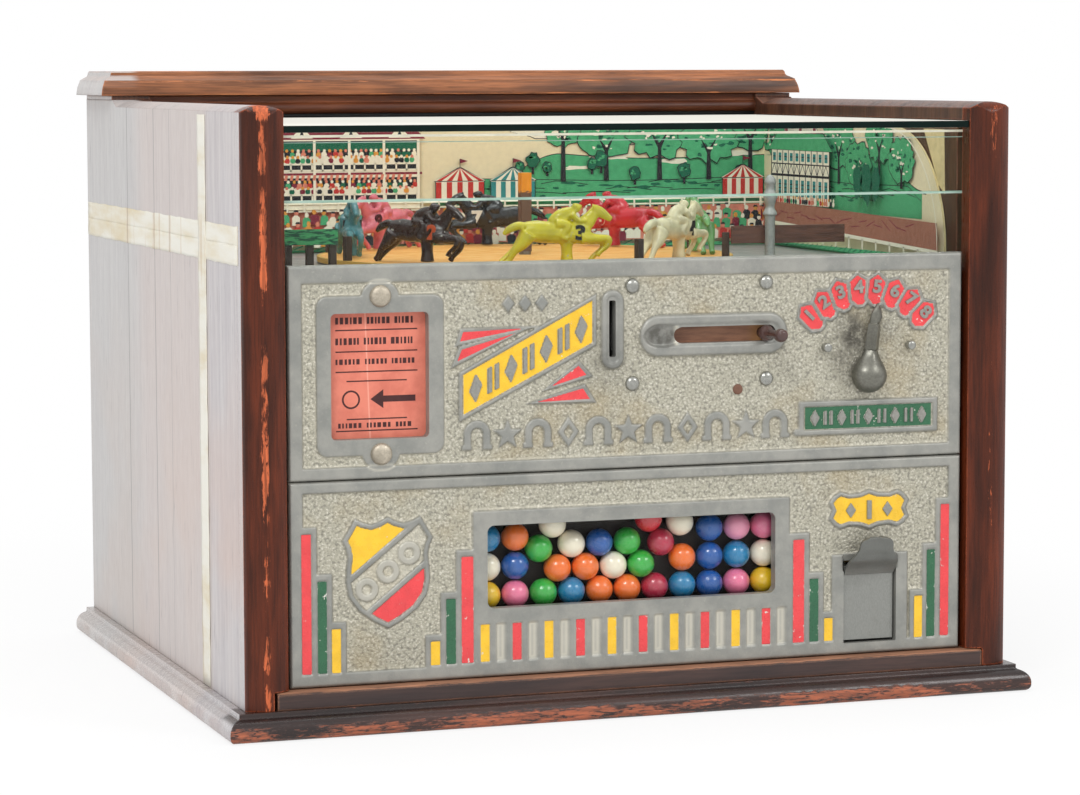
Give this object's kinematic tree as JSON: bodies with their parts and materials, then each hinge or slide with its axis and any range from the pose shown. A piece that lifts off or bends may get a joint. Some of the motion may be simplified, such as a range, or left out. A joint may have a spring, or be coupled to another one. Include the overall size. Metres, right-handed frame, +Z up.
{
  "type": "trade stimulator",
  "caption": "Counter-top horse race machine: a wooden cabinet with a cast front, a glazed race track on a turntable, a coin slot, a sliding lever, a number pointer and a ball gum vendor.",
  "frame": {"origin": "bottom centre of the bounding box", "axes": "+Z up, the front with the cast panels faces -Y, +X to the right seen from the front"},
  "size_m": [0.391, 0.3399, 0.294],
  "materials": {
    "cabinet_wood": "worn varnish",
    "clear_glass": "polished",
    "cast_aluminium": "stippled cast",
    "sheet_aluminium": "dull rolled",
    "steel": "plated",
    "brown_knob": "gloss",
    "fibre": "matt",
    "wheel_metal": "dull",
    "ball_gum": "candy gloss",
    "printed_card": "matt print",
    "painted_wood": "painted",
    "disc_paint": "matt paint",
    "runner_paint": "enamel"
  },
  "bodies": {
    "cabinet": {"base_board": "cabinet_wood", "base_moulding": "cabinet_wood", "side_panel_left": "cabinet_wood", "side_panel_right": "cabinet_wood", "post_left": "cabinet_wood", "post_right": "cabinet_wood", "front_rail": "cabinet_wood", "back_frame": "cabinet_wood", "hinge_leaves": "steel", "hinge_pins": "steel", "lid_rail": "cabinet_wood", "top_glass": "clear_glass", "front_glass": "clear_glass", "upper_casting": "cast_aluminium", "lower_casting": "cast_aluminium", "front_fasteners": "steel", "instruction_card": "printed_card", "coin_chute": "steel", "slide_rails": "steel", "spring_anchor": "steel", "lever_spring": "steel", "mechanism_plate": "steel", "gum_glass": "clear_glass", "gum_tray": "steel", "gum_chute": "steel", "gum_balls": "ball_gum", "race_floor": "sheet_aluminium", "spindle": "steel", "finish_post": "painted_wood", "click_strip": "fibre", "click_post": "painted_wood", "track_fence": "painted_wood", "backdrop_card": "printed_card", "cash_box": "sheet_aluminium"},
    "lid": {"lid": "cabinet_wood", "lid_straps": "steel"},
    "door": {"back_door": "cabinet_wood", "door_straps": "steel", "lock_barrel": "steel"},
    "cam": {"lock_cam": "steel"},
    "lever": {"lever_slide": "steel", "lever_shutter": "fibre", "lever_knob": "brown_knob"},
    "kicker": {"kicker_arm": "steel"},
    "wheel": {"gum_wheel": "wheel_metal"},
    "flap": {"gum_flap": "sheet_aluminium"},
    "pointer": {"pick_pointer": "sheet_aluminium", "pointer_nut": "steel"},
    "turntable": {"turntable": "disc_paint", "turntable_hub": "steel", "turntable_pegs": "steel", "horse_1": "runner_paint", "horse_2": "runner_paint", "horse_3": "runner_paint", "horse_4": "runner_paint", "horse_5": "runner_paint", "horse_6": "runner_paint", "horse_7": "runner_paint", "horse_8": "runner_paint"}
  },
  "joints": [
    {"name": "lever_pull", "type": "slide", "parent": "cabinet", "child": "lever", "axis": [-1, 0, 0], "range_m": [0, 0.04], "stiffness_N_per_m": 60, "springref_m": -0.03, "deforming": ["lever_spring"]},
    {"name": "kicker_swing", "type": "hinge", "parent": "cabinet", "child": "kicker", "pos_m": [0.046, -0.08, 0.1668], "axis": [0, 0, 1], "range_deg": [-43.62, 0]},
    {"name": "gum_wheel_turn", "type": "hinge", "parent": "cabinet", "child": "wheel", "pos_m": [0.096, -0.135, 0.056], "axis": [0, -1, 0], "range_deg": [0, 90.02]},
    {"name": "turntable_spin", "type": "hinge", "parent": "cabinet", "child": "turntable", "pos_m": [-0.01, -0.023, 0.2033], "axis": [0, 0, 1], "continuous": true},
    {"name": "pick_turn", "type": "hinge", "parent": "cabinet", "child": "pointer", "pos_m": [0.1157, -0.149, 0.1525], "axis": [0, 1, 0], "range_deg": [-53, 40]},
    {"name": "gum_flap_hinge", "type": "hinge", "parent": "cabinet", "child": "flap", "pos_m": [0.1175, -0.1429, 0.0615], "axis": [-1, 0, 0], "range_deg": [0, 25]},
    {"name": "lid_hinge", "type": "hinge", "parent": "cabinet", "child": "lid", "pos_m": [0, 0.1685, 0.28155], "axis": [-1, 0, 0], "range_deg": [0, 100]},
    {"name": "door_hinge", "type": "hinge", "parent": "cabinet", "child": "door", "pos_m": [-0.14, 0.1685, 0.141], "axis": [0, 0, 1], "range_deg": [0, 110]},
    {"name": "lock_turn", "type": "hinge", "parent": "door", "child": "cam", "pos_m": [0.12, 0.156, 0.141], "axis": [0, -1, 0], "range_deg": [0, 90]}
  ],
  "couplings": [
    {"joint": "kicker_swing", "follows": "lever_pull", "rad_per_m": -19.025},
    {"joint": "gum_wheel_turn", "follows": "lever_pull", "rad_per_m": 39.27}
  ]
}
